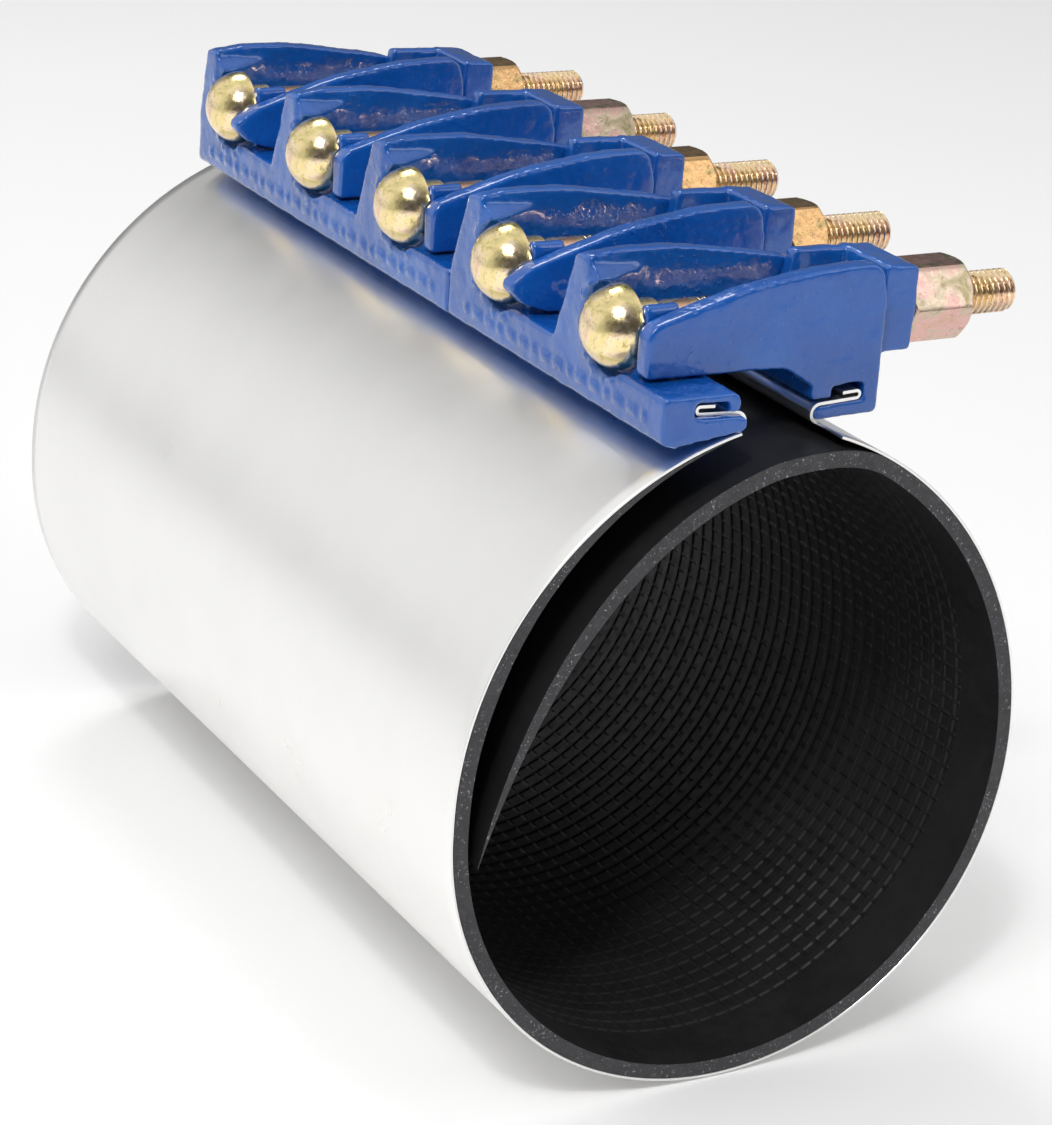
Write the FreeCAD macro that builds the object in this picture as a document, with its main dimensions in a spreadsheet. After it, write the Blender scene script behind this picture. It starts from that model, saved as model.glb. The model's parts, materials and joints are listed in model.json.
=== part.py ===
"""Full-circle pipe repair clamp: one stainless band with hemmed ends, a tapered rubber gasket with a bridge
plate moulded in it, four cast lugs with interlocking fingers, five domed-head bolts and five hex nuts.

Frame: origin at the centre of the pipe bore, halfway along the clamp. +Y is the pipe's axis, +Z points up
to the lugs, and the bolts lie along X with their heads towards -X. All sizes are in millimetres.
"""

import FreeCAD
import Part
import math
import os

Vector = FreeCAD.Vector

SIZES = {
    "clamp_length": 317.5,
    "bore_radius": 87.63,
    "gasket_thickness": 4.45,
    "skin_gap": 0.05,
    "band_thickness": 0.9,
    "head_side_rise": 3.75,
    "head_arch_radius": 105.6,
    "nut_arch_radius": 108.5,
    "lip_radius": 2.2,
    "lip_gap": 0.1,
    "head_lip_reach": -12.4,
    "nut_lip_reach": 22.1,
    "slot_slope": 3.0,
    "slot_run": 12.0,
    "head_undercut": 6.8,
    "hem_radius": 0.6,
    "hem_return": 4.6,
    "flap_slope": 14.4,
    "flap_bend": 22.0,
    "bolt_pitch": 63.5,
    "bolt_height": 128.7,
    "seat_x": -32.4,
    "head_radius": 12.0,
    "neck_radius": 7.3,
    "neck_length": 8.5,
    "bolt_radius": 6.35,
    "bolt_length": 128.0,
    "tip_chamfer": 1.4,
    "nut_seat_x": 54.9,
    "nut_flats": 22.2,
    "nut_bore_radius": 6.4,
    "short_nut_length": 14.0,
    "long_nut_length": 21.5,
    "nut_chamfer": 1.9,
    "outer_face_x": -37.0,
    "base_top": 118.0,
    "blade_inset": 12.9,
    "blade_thickness": 5.4,
    "blade_top": 146.3,
    "blade_tip_x": 33.0,
    "cheek_gap": 7.6,
    "keeper_outer": 11.9,
    "keeper_length": 10.6,
    "cheek_end_x": -17.5,
    "head_recess_radius": 13.4,
    "finger_inset": 12.4,
    "finger_thickness": 6.0,
    "blunt_tip_x": -35.3,
    "pointed_tip_x": -44.0,
    "finger_foot": 118.9,
    "pocket_wall_inner": 7.6,
    "pocket_wall_thickness": 4.7,
    "block_near": 13.2,
    "block_face_x": 44.0,
    "bolt_hole_radius": 7.2,
    "casting_joint_gap": 0.4,
    "head_casting_end": 152.0,
    "nut_casting_end": 157.0,
    "hem_inset": 2.5,
    "head_joint_y": -33.3,
    "plate_thickness": 0.8,
    "plate_width": 26.0,
    "plate_margin": 8.0,
}

# pointed fingers are the far-most of each casting; long nuts are on the second and the nearest bolt
BOLTS = (1, 2, 3, 4, 5)
POINTED_FINGERS = (1, 4)
LONG_NUTS = (2, 5)
NUT_TURNS = {1: 2.0, 2: -1.5, 3: 1.0, 4: -2.0, 5: 0.0}

doc = FreeCAD.newDocument("pipe_repair_clamp")


def make_sheet():
    """The spreadsheet of driving dimensions, one alias to a row."""
    table = doc.addObject("Spreadsheet::Sheet", "sizes")
    for row, (name, value) in enumerate(SIZES.items(), start=1):
        table.set(f"A{row}", name)
        table.set(f"B{row}", str(value))
        table.setAlias(f"B{row}", name)
    doc.recompute()
    return table


sheet = make_sheet()


def size(name):
    return float(sheet.get(name))


def bolt_y(number):
    """Bolt 1 is the farthest along +Y, bolt 5 the nearest."""
    return (3 - number) * size("bolt_pitch")


# --- plane geometry -------------------------------------------------------------------------------------


def polar(radius, degrees, centre=(0.0, 0.0)):
    angle = math.radians(degrees)
    return centre[0] + radius * math.cos(angle), centre[1] + radius * math.sin(angle)


def segment(start, end):
    return Part.LineSegment(Vector(*start, 0), Vector(*end, 0))


def arc(centre, radius, low, high):
    """An arc drawn anticlockwise from angle low to angle high, in degrees."""
    circle = Part.Circle(Vector(*centre, 0), Vector(0, 0, 1), radius)
    return Part.ArcOfCircle(circle, math.radians(low), math.radians(high))


def arc_through(start, middle, end):
    curve = Part.Arc(Vector(*start, 0), Vector(*middle, 0), Vector(*end, 0))
    return curve


def rounded(corners):
    """A closed outline through corners (x, y) or (x, y, radius), with each radius rounded off."""
    count = len(corners)
    ends = []
    curves = []
    for i in range(count):
        here = Vector(corners[i][0], corners[i][1], 0)
        radius = corners[i][2] if len(corners[i]) > 2 else 0
        if not radius:
            ends.append((here, here))
            continue
        before = Vector(corners[i - 1][0], corners[i - 1][1], 0) - here
        after = Vector(corners[(i + 1) % count][0], corners[(i + 1) % count][1], 0) - here
        half = before.getAngle(after) / 2
        before.normalize()
        after.normalize()
        setback = radius / math.tan(half)
        centre = here + (before + after).normalize() * (radius / math.sin(half))
        first = here + before * setback
        last = here + after * setback
        middle = centre + (here - centre).normalize() * radius
        curves.append(Part.Arc(first, middle, last))
        ends.append((first, last))
    for i in range(count):
        start = ends[i][1]
        end = ends[(i + 1) % count][0]
        if start.distanceToPoint(end) > 1e-6:
            curves.append(Part.LineSegment(start, end))
    return curves


# --- bodies and features --------------------------------------------------------------------------------


def new_body(label, place=(0, 0, 0), turn=None):
    body = doc.addObject("PartDesign::Body", label)
    body.Label = label
    body.Placement = FreeCAD.Placement(Vector(*place), turn or FreeCAD.Rotation())
    return body


def sketch(body, role, name, curves, offset=0.0):
    """A sketch on one of the body's origin planes, moved along that plane's normal by offset."""
    drawing = body.newObject("Sketcher::SketchObject", name)
    plane = [f for f in body.Origin.OriginFeatures if f.Role == role][0]
    drawing.AttachmentSupport = [(plane, "")]
    drawing.MapMode = "FlatFace"
    drawing.AttachmentOffset = FreeCAD.Placement(Vector(0, 0, offset), FreeCAD.Rotation())
    for curve in curves:
        drawing.addGeometry(curve, False)
    drawing.Visibility = False
    return drawing


def pad(body, name, role, curves, offset, length):
    """Pad an outline along the plane's normal; length is a number or an expression on the sheet."""
    profile = sketch(body, role, name + "_outline", curves, offset)
    feature = body.newObject("PartDesign::Pad", name)
    feature.Profile = profile
    if isinstance(length, str):
        feature.setExpression("Length", length)
    else:
        feature.Length = length
    return feature


def plate(body, name, curves, near, far_minus_near):
    """Pad an XZ outline that starts at y = near and reaches towards +Y."""
    feature = pad(body, name, "XZ_Plane", curves, -near, far_minus_near)
    feature.Reversed = True
    return feature


def pocket(body, name, role, curves, offset, length):
    profile = sketch(body, role, name + "_outline", curves, offset)
    feature = body.newObject("PartDesign::Pocket", name)
    feature.Profile = profile
    feature.Length = length
    feature.Reversed = True
    return feature


# --- band and gasket ------------------------------------------------------------------------------------


class Section:
    """Radii and centres shared by the band and the gasket, seen along the pipe."""

    def __init__(self):
        self.bore = size("bore_radius")
        self.rubber = size("gasket_thickness")
        self.sheet = size("band_thickness")
        self.outer = self.bore + self.rubber + size("skin_gap") + self.sheet
        self.rise = size("head_side_rise")
        self.head_arch = size("head_arch_radius")
        self.nut_arch = size("nut_arch_radius")
        self.head_centre = (self.head_arch - self.outer, self.rise)
        self.nut_centre = (self.outer - self.nut_arch, 0.0)
        self.turn = size("lip_radius") + size("lip_gap")
        self.head_lip = self.lip(self.head_centre, self.head_arch, size("head_lip_reach"))
        self.nut_lip = self.lip(self.nut_centre, self.nut_arch, size("nut_lip_reach"))

    def lip(self, centre, radius, x):
        """Centre of the lug lip's round nose, which the band wraps."""
        across = x - centre[0]
        return x, centre[1] + math.sqrt((radius + self.turn) ** 2 - across**2)

    def lip_angle(self, lip, centre):
        return math.degrees(math.atan2(lip[1] - centre[1], lip[0] - centre[0]))


def hem(section, lip, side):
    """The wrapped, slotted and folded end of the band. side is 1 on the nut side and -1 on the head side.
    Returns the curves of its two faces and its free end."""
    slope = size("slot_slope")
    run = size("slot_run")
    fold = size("hem_radius")
    back = size("hem_return")
    thick = section.sheet
    turn = section.turn

    def place(along, above):
        """A point of the slot: along its slope from the top of the nose, and above the nose's centre."""
        angle = math.radians(slope)
        x = along * math.cos(angle) - above * math.sin(angle)
        z = along * math.sin(angle) + above * math.cos(angle)
        return lip[0] + side * x, lip[1] + z

    def fold_arc(radius):
        low = place(run, turn + thick + fold - radius)
        middle = place(run + radius, turn + thick + fold)
        high = place(run, turn + thick + fold + radius)
        return arc_through(low, middle, high)

    top = turn + thick + 2 * fold
    return [
        segment(place(0, turn), place(run, turn)),
        segment(place(0, turn + thick), place(run, turn + thick)),
        fold_arc(fold),
        fold_arc(fold + thick),
        segment(place(run, top), place(run - back, top)),
        segment(place(run, top + thick), place(run - back, top + thick)),
        segment(place(run - back, top), place(run - back, top + thick)),
    ]


def band_curves(section):
    slope = size("slot_slope")
    head_angle = section.lip_angle(section.head_lip, section.head_centre)
    nut_angle = section.lip_angle(section.nut_lip, section.nut_centre)
    curves = []
    for inset in (0.0, section.sheet):
        outer = section.outer - inset
        curves.append(arc((0, 0), outer, 180, 360))
        curves.append(segment((-outer, 0), (-outer, section.rise)))
        curves.append(arc(section.head_centre, section.head_arch - inset, head_angle, 180))
        curves.append(arc(section.nut_centre, section.nut_arch - inset, 0, nut_angle))
        wrap = section.turn + inset
        curves.append(arc(section.head_lip, wrap, head_angle - 180, 90 - slope))
        curves.append(arc(section.nut_lip, wrap, 90 + slope, 180 + nut_angle))
    curves += hem(section, section.head_lip, -1)
    curves += hem(section, section.nut_lip, 1)
    return curves


def hem_space(section, lip, centre, arch, side):
    """An outline that holds one wrapped and hemmed end, but not the sheet that it grows from."""
    angle = section.lip_angle(lip, centre)
    low = polar(arch - 2.5, angle, centre)
    high = polar(arch + 0.3, angle, centre)
    inner = lip[0] - side * 6.0
    outer = lip[0] + side * 2 * size("slot_run")
    top = lip[1] + 16.0
    return rounded([low, high, (outer, high[1]), (outer, top), (inner, top), (inner, low[1])])


def make_band(section):
    """The sheet runs the clamp's whole length, and its hems are only as long as the castings they hold."""
    half = size("clamp_length") / 2
    body = new_body("band", (0, half, 0))
    pad(body, "band_sheet", "XZ_Plane", band_curves(section), 0, "sizes.clamp_length")
    head_side = (section.head_lip, section.head_centre, section.head_arch, -1)
    nut_side = (section.nut_lip, section.nut_centre, section.nut_arch, 1)
    ends = (
        ("head", head_side, size("hem_inset") - half, size("head_casting_end")),
        ("nut", nut_side, bolt_y(5) - size("finger_inset") - size("finger_thickness"), size("nut_casting_end")),
    )
    for name, place, near, far in ends:
        outline = hem_space(section, *place)
        pocket(body, f"{name}_hem_near_end", "XZ_Plane", outline, half - near, near + half + 1.0)
        outline = hem_space(section, *place)
        pocket(body, f"{name}_hem_far_end", "XZ_Plane", outline, -1.0, half - far + 1.0)
    return body


def gasket_curves(section):
    """The rubber runs from a feathered edge under the head lugs, round the pipe, over the top under the gap
    between the lugs, and down inside its own first layer to a second feathered edge."""
    under = section.sheet + size("skin_gap")
    skin = section.outer - under
    bore = section.bore
    lap = bore + 0.04
    lap_skin = lap + section.rubber
    head_skin = section.head_arch - under
    nut_skin = section.nut_arch - under
    slope = size("flap_slope")

    def shoulder(radius, arch_radius, bend):
        """Where the flap's straight stretch, tangent to the lap circle, bends into the arch on the nut side:
        the end of the arch, the middle of the bend and the end of the straight."""
        normal = math.radians(90 + slope)
        cos, sin = math.cos(normal), math.sin(normal)
        ahead = section.nut_centre
        reach = radius - bend - ahead[0] * cos - ahead[1] * sin
        along = math.sqrt((arch_radius - bend) ** 2 - reach**2)
        centre = (ahead[0] + reach * cos + along * sin, ahead[1] + reach * sin - along * cos)
        heading = math.degrees(math.atan2(centre[1] - ahead[1], centre[0] - ahead[0]))
        middle = (heading + 90 + slope) / 2
        return heading, [polar(bend, angle, centre) for angle in (heading, middle, 90 + slope)]

    tangent = 90 + slope
    bend = size("flap_bend")
    skin_heading, skin_bend = shoulder(lap_skin, nut_skin, bend)
    bore_heading, bore_bend = shoulder(lap, nut_skin - section.rubber, bend - section.rubber)
    taper_start, taper_end = 128, 171
    feather = 0.12

    first_edge, first_full = 106, 162
    first_middle = (first_edge + first_full) / 2
    edge_top = polar(head_skin, first_edge, section.head_centre)
    edge_low = polar(head_skin - feather, first_edge, section.head_centre)
    swell = polar(head_skin - 0.5 * section.rubber, first_middle, section.head_centre)
    full = polar(head_skin - section.rubber, first_full, section.head_centre)
    lap_middle = (taper_start + taper_end) / 2
    return [
        arc(section.head_centre, head_skin, first_edge, 180),
        segment((-skin, section.rise), (-skin, 0)),
        arc((0, 0), skin, 180, 360),
        arc(section.nut_centre, nut_skin, 0, skin_heading),
        arc_through(*skin_bend),
        segment(skin_bend[2], polar(lap_skin, tangent)),
        arc((0, 0), lap_skin, tangent, taper_start),
        arc_through(
            polar(lap_skin, taper_start),
            polar(lap + 0.5 * section.rubber, lap_middle),
            polar(lap + feather, taper_end),
        ),
        segment(polar(lap + feather, taper_end), polar(lap, taper_end)),
        arc((0, 0), lap, tangent, taper_end),
        segment(polar(lap, tangent), bore_bend[2]),
        arc_through(*bore_bend),
        arc(section.nut_centre, nut_skin - section.rubber, 0, bore_heading),
        arc((0, 0), bore, 180, 360),
        segment((-bore, 0), (-bore, section.rise)),
        arc(section.head_centre, head_skin - section.rubber, first_full, 180),
        arc_through(full, swell, edge_low),
        segment(edge_low, edge_top),
    ]


def plate_place(section):
    """The bridge plate lies flat in the middle of the flap's straight stretch, under the gap."""
    slope = size("flap_slope")
    middle = section.bore + section.rubber / 2
    start = polar(middle, 90 + slope)
    turn = FreeCAD.Rotation(Vector(0, 1, 0), -slope)
    return start, turn


def make_plate_solid(section, name, clearance):
    """A thin flat plate along the flap, or the space that it fills in the rubber."""
    start, turn = plate_place(section)
    box = doc.addObject("Part::Box", name)
    box.setExpression("Length", f"sizes.plate_width + {2 * clearance}")
    box.setExpression("Width", f"sizes.clamp_length - 2 * sizes.plate_margin + {2 * clearance}")
    box.setExpression("Height", f"sizes.plate_thickness + {2 * clearance}")
    thick = size("plate_thickness") + 2 * clearance
    width = size("clamp_length") / 2 - size("plate_margin") + clearance
    corner = Vector(start[0], 0, start[1]) + turn.multVec(Vector(4.0 - clearance, -width, -thick / 2))
    box.Placement = FreeCAD.Placement(corner, turn)
    return box


def make_gasket(section):
    body = new_body("gasket_rubber", (0, size("clamp_length") / 2, 0))
    pad(body, "gasket_wrap", "XZ_Plane", gasket_curves(section), 0, "sizes.clamp_length")
    space = make_plate_solid(section, "plate_space", 0.05)
    gasket = doc.addObject("Part::Cut", "gasket")
    gasket.Label = "gasket"
    gasket.Base = body
    gasket.Tool = space
    return gasket


def make_bridge_plate(section):
    box = make_plate_solid(section, "bridge_plate", 0.0)
    box.Label = "bridge_plate"
    return box


# --- castings -------------------------------------------------------------------------------------------


def slot_corners(section, lip, side, pocket_end, pocket_top, undercut, jaw):
    """The lug's lip, from under its round nose, over the slot that takes the band's hem, to the upper jaw.
    The lip's underside falls away from the nose at the angle undercut, and the jaw ends at jaw past its
    centre."""
    slope = math.radians(size("slot_slope"))
    fall = math.radians(undercut)
    nose = size("lip_radius")
    entry = nose + 2 * size("lip_gap") + section.sheet + 0.5
    inner = size("slot_run") - size("hem_return") - 3.4
    under = nose * (1 - math.sin(fall)) / math.cos(fall)
    over = nose * (1 - math.sin(slope)) / math.cos(slope)
    bevel = 0.97 * nose

    def place(along, above):
        x = along * math.cos(slope) - above * math.sin(slope)
        z = along * math.sin(slope) + above * math.cos(slope)
        return lip[0] + side * x, lip[1] + z

    return [
        (lip[0] - side * nose, lip[1] - nose * math.cos(fall) + under * math.sin(fall), bevel),
        (*place(-over, nose), bevel),
        (*place(pocket_end, nose), 0.6),
        (*place(pocket_end, pocket_top), 1.2),
        (*place(inner, pocket_top), 1.0),
        place(inner, entry),
        (lip[0] + side * jaw, place(jaw, entry)[1], 1.2),
    ]


def underside(lip, undercut, x):
    """Height of the lip's straight underside at x."""
    fall = math.radians(undercut)
    return lip[1] - size("lip_radius") / math.cos(fall) - abs(x - lip[0]) * math.tan(fall)


def head_base_curves(section):
    lip = section.head_lip
    jaw = 0.5
    face = size("outer_face_x")
    top = size("base_top")
    undercut = size("head_undercut")
    heel = underside(lip, undercut, face + 4.0)
    corners = slot_corners(section, lip, -1, 15.0, 6.6, undercut, jaw)
    corners += [
        (lip[0] - jaw, top, 2.6),
        (face, top, 1.2),
        (face, heel + 1.0, 2.0),
        (face + 4.0, heel, 3.0),
    ]
    return rounded(corners)


def blade_curves():
    """The tall curved blade beside each bolt on the head side, which reaches over the gap."""
    face = size("outer_face_x")
    foot = size("finger_foot")
    tip = size("blade_tip_x")
    top = size("blade_top")
    root = size("base_top") - 1.5
    return rounded(
        [
            (face, root),
            (face, top - 1.4, 2.0),
            (-26.0, top, 12.0),
            (-8.0, top - 0.5, 60.0),
            (tip - 10.0, top - 5.0, 60.0),
            (tip, top - 8.0, 5.0),
            (tip - 2.0, foot, 4.0),
            (-12.0, foot, 1.0),
            (-14.0, root),
        ]
    )


def seat_curves():
    """The U-shaped seat behind a bolt head, with the keeper that holds the bolt in on its near side."""
    gap = size("cheek_gap")
    outer = size("keeper_outer")
    far = size("blade_inset") + 0.6
    root = size("base_top") - 1.0
    height = size("bolt_height")
    shoulder = height + 6.7
    return [
        segment((-outer, root), (-outer, shoulder)),
        arc_through((-outer, shoulder), (-(outer + gap) / 2, height + 8.9), (-gap, shoulder)),
        segment((-gap, shoulder), (-gap, height)),
        arc((0, height), gap, 180, 360),
        segment((gap, height), (far, height)),
        segment((far, height), (far, root)),
        segment((far, root), (-outer, root)),
    ]


def cheek_curves(inner, low, high):
    """A section of the cheek, whose top slopes from its bolt side up to the blade."""
    far = size("blade_inset") + 0.6
    root = size("base_top") - 1.0
    return rounded([(inner, root), (inner, low), (far, high), (far, root)])


def add_cheek(body, tag, y):
    """The cheek on the far side of the seat, which thins to nothing along the blade."""
    height = size("bolt_height")
    thick = cheek_curves(size("cheek_gap"), height + 10.0, height + 15.0)
    thin = cheek_curves(size("blade_inset") + 0.3, height + 13.4, height + 13.6)
    first = sketch(body, "YZ_Plane", tag + "_cheek_thick", moved(thick, y), size("outer_face_x") + 0.8)
    second = sketch(body, "YZ_Plane", tag + "_cheek_thin", moved(thin, y), size("cheek_end_x"))
    feature = body.newObject("PartDesign::AdditiveLoft", tag + "_cheek")
    feature.Profile = first
    feature.Sections = [second]
    feature.Ruled = True
    return feature


def flare_curves(reach):
    """The blade's foot on the outer face, spreading away from the bolt down to the base."""
    inset = size("blade_inset")
    root = size("base_top") - 1.0
    top = size("blade_top") - 2.0
    return rounded(
        [
            (inset, root),
            (reach, root),
            (min(reach, 29.0), root + 5.0),
            (min(reach, 20.8), top, 2.0),
            (inset, top),
        ]
    )


def moved(curves, along):
    """The same curves, shifted along the sketch's first axis."""
    shift = FreeCAD.Matrix()
    shift.move(Vector(along, 0, 0))
    for curve in curves:
        curve.transform(shift)
    return curves


def make_head_casting(section, label, near, far, bolts):
    """One casting of the head side, in its own frame with y = 0 at its near end."""
    body = new_body(label, (0, near, 0))
    face = size("outer_face_x")
    seat_x = size("seat_x")
    plate(body, label + "_base", head_base_curves(section), 0, far - near)
    for number in bolts:
        y = bolt_y(number) - near
        tag = f"{label}_{number}"
        reach = min(30.5, far - near - y)
        plate(body, tag + "_blade", blade_curves(), y + size("blade_inset"), "sizes.blade_thickness")
        pad(body, tag + "_flare", "YZ_Plane", moved(flare_curves(reach), y), face, 4.6)
        wedge = [
            (seat_x - 0.6, y + size("blade_inset") + 1),
            (seat_x - 0.6, y + min(reach, 20.5)),
            (-14.0, y + size("blade_inset") + size("blade_thickness")),
            (-14.0, y + size("blade_inset") + 1),
        ]
        root = size("base_top") - 1.0
        pad(body, tag + "_buttress", "XY_Plane", rounded(wedge), root, 24.0)
        pad(body, tag + "_seat", "YZ_Plane", moved(seat_curves(), y), seat_x, "sizes.keeper_length")
        add_cheek(body, tag, y)
        recess = [Part.Circle(Vector(y, size("bolt_height"), 0), Vector(0, 0, 1), size("head_recess_radius"))]
        pocket(body, tag + "_recess", "YZ_Plane", recess, face - 1.0, seat_x - face + 1.0)
    return body


def nut_base_curves(section):
    lip = section.nut_lip
    jaw = -3.2
    heel = 41.3
    floor = lip[1] - size("lip_radius")
    corners = slot_corners(section, lip, 1, 14.6, 7.0, 0, jaw)
    corners += [
        (lip[0] + jaw, size("base_top"), 2.0),
        (heel, size("base_top")),
        (heel, floor + 0.6, 2.0),
    ]
    return rounded(corners)


def finger_curves(pointed):
    """The long finger on the near side of each bolt, reaching past the shank to the head."""
    foot = size("finger_foot")
    heel = 41.3
    root = size("base_top") - 6.0
    if pointed:
        tip = size("pointed_tip_x")
        nose = [
            (-30.0, foot, 6.0),
            (tip + 5.5, foot + 3.0, 4.0),
            (tip, foot + 8.5, 2.2),
            (tip + 8.0, foot + 13.5, 8.0),
        ]
    else:
        tip = size("blunt_tip_x")
        nose = [(tip, foot, 1.2), (tip, foot + 14.4, 5.5)]
    return rounded(
        nose
        + [
            (-6.0, 141.8, 90.0),
            (20.0, 145.6, 60.0),
            (38.6, 146.0, 5.0),
            (heel, 136.0, 20.0),
            (heel, root),
            (19.0, root),
            (18.4, 112.4, 3.0),
            (9.4, foot - 0.6, 9.0),
        ]
    )


def block_curves():
    """The end wall that a nut bears on, with the pocket's floor running into it."""
    inner = size("block_face_x")
    face = size("nut_seat_x")
    top = size("base_top")
    return rounded(
        [
            (34.0, top - 5.0),
            (40.5, top - 5.0, 2.0),
            (45.0, top, 2.0),
            (face - 0.5, top, 1.6),
            (face, 142.6, 1.6),
            (inner, 143.4, 1.0),
            (inner - 1.0, top + 0.5, 3.0),
            (34.0, top + 0.5),
        ]
    )


def pocket_wall_curves():
    """The short wall on the far side of a bolt, which overlaps the end of the blade."""
    top = size("base_top")
    return rounded(
        [
            (22.0, top - 5.0),
            (22.0, top),
            (26.6, 143.6, 1.6),
            (size("block_face_x") + 2.0, 143.0),
            (size("block_face_x") + 2.0, top + 2.0),
            (40.0, top - 5.0),
        ]
    )


def make_nut_casting(section, label, near, far, bolts):
    """One casting of the nut side, in its own frame with y = 0 at its near end."""
    body = new_body(label, (0, near, 0))
    wall_far = size("pocket_wall_inner") + size("pocket_wall_thickness")
    plate(body, label + "_base", nut_base_curves(section), 0, far - near)
    for number in bolts:
        y = bolt_y(number) - near
        tag = f"{label}_{number}"
        finger_y = y - size("finger_inset") - size("finger_thickness")
        outline = finger_curves(number in POINTED_FINGERS)
        plate(body, tag + "_finger", outline, finger_y, "sizes.finger_thickness")
        plate(body, tag + "_block", block_curves(), y - size("block_near"), size("block_near") + wall_far)
        wall_y = y + size("pocket_wall_inner")
        plate(body, tag + "_wall", pocket_wall_curves(), wall_y, "sizes.pocket_wall_thickness")
        hole = [Part.Circle(Vector(y, size("bolt_height"), 0), Vector(0, 0, 1), size("bolt_hole_radius"))]
        pocket(body, tag + "_hole", "YZ_Plane", hole, size("block_face_x") - 4.0, 20.0)
    return body


# --- fasteners ------------------------------------------------------------------------------------------


def revolve(body, name, curves):
    profile = sketch(body, "XY_Plane", name + "_outline", curves)
    feature = body.newObject("PartDesign::Revolution", name)
    feature.Profile = profile
    feature.ReferenceAxis = (profile, ["H_Axis"])
    feature.Angle = 360
    return feature


def place_on_axis(body, number, along):
    """Put a fastener on its bolt's axis, with its own origin at the sheet's place along."""
    body.setExpression("Placement.Base.x", f"sizes.{along}")
    body.setExpression("Placement.Base.y", f"{3 - number} * sizes.bolt_pitch")
    body.setExpression("Placement.Base.z", "sizes.bolt_height")


def make_bolt(number):
    """Domed head, round neck and plain shank, along +X from the back of the head."""
    body = new_body(f"bolt_{number}")
    place_on_axis(body, number, "seat_x")
    head = size("head_radius")
    neck = size("neck_radius")
    shank = size("bolt_radius")
    rim = 0.3
    neck_end = size("neck_length")
    tip = size("bolt_length")
    bevel = size("tip_chamfer")
    curves = [
        arc((-rim, 0), head, 90, 180),
        segment((-rim, head), (0, head)),
        segment((0, head), (0, neck)),
        segment((0, neck), (neck_end, neck)),
        segment((neck_end, neck), (neck_end + neck - shank, shank)),
        segment((neck_end + neck - shank, shank), (tip - bevel, shank)),
        segment((tip - bevel, shank), (tip, shank - bevel)),
        segment((tip, shank - bevel), (tip, 0)),
        segment((tip, 0), (-rim - head, 0)),
    ]
    revolve(body, f"bolt_{number}_form", curves)
    return body


def make_nut(number):
    """A hex nut with both ends chamfered, bored to run on the bolt's thread crests."""
    alias = "long_nut_length" if number in LONG_NUTS else "short_nut_length"
    length = size(alias)
    turn = FreeCAD.Rotation(Vector(1, 0, 0), NUT_TURNS[number])
    body = new_body(f"nut_{number}", turn=turn)
    place_on_axis(body, number, "nut_seat_x")
    corner = size("nut_flats") / math.sqrt(3)
    hexagon = rounded([polar(corner, 60 * side) for side in range(6)])
    pad(body, f"nut_{number}_hex", "YZ_Plane", hexagon, 0, f"sizes.{alias}")
    rim = corner + 1.0
    start = size("nut_flats") / 2 - 0.2
    rise = size("nut_chamfer") * (rim - start) / (corner - start)
    for end, inward in ((0.0, 1), (length, -1)):
        profile = sketch(
            body,
            "XY_Plane",
            f"nut_{number}_bevel_{'inner' if inward > 0 else 'outer'}",
            rounded([(end, start), (end + inward * rise, rim), (end, rim)]),
        )
        groove = body.newObject("PartDesign::Groove", f"nut_{number}_cut_{'inner' if inward > 0 else 'outer'}")
        groove.Profile = profile
        groove.ReferenceAxis = (profile, ["H_Axis"])
        groove.Angle = 360
    bore = [Part.Circle(Vector(0, 0, 0), Vector(0, 0, 1), size("nut_bore_radius"))]
    pocket(body, f"nut_{number}_bore", "YZ_Plane", bore, 0, length)
    return body


# --- assembly -------------------------------------------------------------------------------------------


def build():
    section = Section()
    half = size("clamp_length") / 2
    gap = size("casting_joint_gap")
    nut_near = bolt_y(5) - size("finger_inset") - size("finger_thickness")
    nut_joint = bolt_y(3) - size("finger_inset") - size("finger_thickness")
    head_joint = size("head_joint_y")
    head_end = size("head_casting_end")
    nut_end = size("nut_casting_end")
    parts = [
        make_band(section),
        make_gasket(section),
        make_bridge_plate(section),
        make_head_casting(section, "head_casting_near", -half, head_joint - gap, (4, 5)),
        make_head_casting(section, "head_casting_far", head_joint, head_end, (1, 2, 3)),
        make_nut_casting(section, "nut_casting_near", nut_near, nut_joint - gap, (4, 5)),
        make_nut_casting(section, "nut_casting_far", nut_joint, nut_end, (1, 2, 3)),
    ]
    for number in BOLTS:
        parts.append(make_bolt(number))
        parts.append(make_nut(number))
    return parts


def check(parts):
    doc.recompute()
    for item in doc.Objects:
        if "Invalid" in item.State or "Error" in item.State:
            raise RuntimeError(f"{item.Name} is {item.State}")
    for item in parts:
        shape = item.Shape
        if shape.isNull() or not shape.isValid() or len(shape.Solids) != 1:
            raise RuntimeError(f"{item.Label} has no single valid solid: {len(shape.Solids)}")
        box = shape.BoundBox
        print(
            f"{item.Label:20s} volume {shape.Volume:11.0f}  x {box.XMin:7.1f} {box.XMax:6.1f}"
            f"  y {box.YMin:7.1f} {box.YMax:6.1f}  z {box.ZMin:7.1f} {box.ZMax:6.1f}"
        )


def export(parts):
    os.makedirs("parts", exist_ok=True)
    for item in parts:
        item.Shape.exportStep(f"parts/{item.Label}.step")


PARTS = build()
check(PARTS)
export(PARTS)
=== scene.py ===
"""The looks of the pipe repair clamp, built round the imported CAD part. Metres, in the CAD's frame."""

import json
import math
import random

import bmesh
import bpy
import numpy as np
from mathutils import Matrix, Vector
from mathutils.geometry import tessellate_polygon


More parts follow.
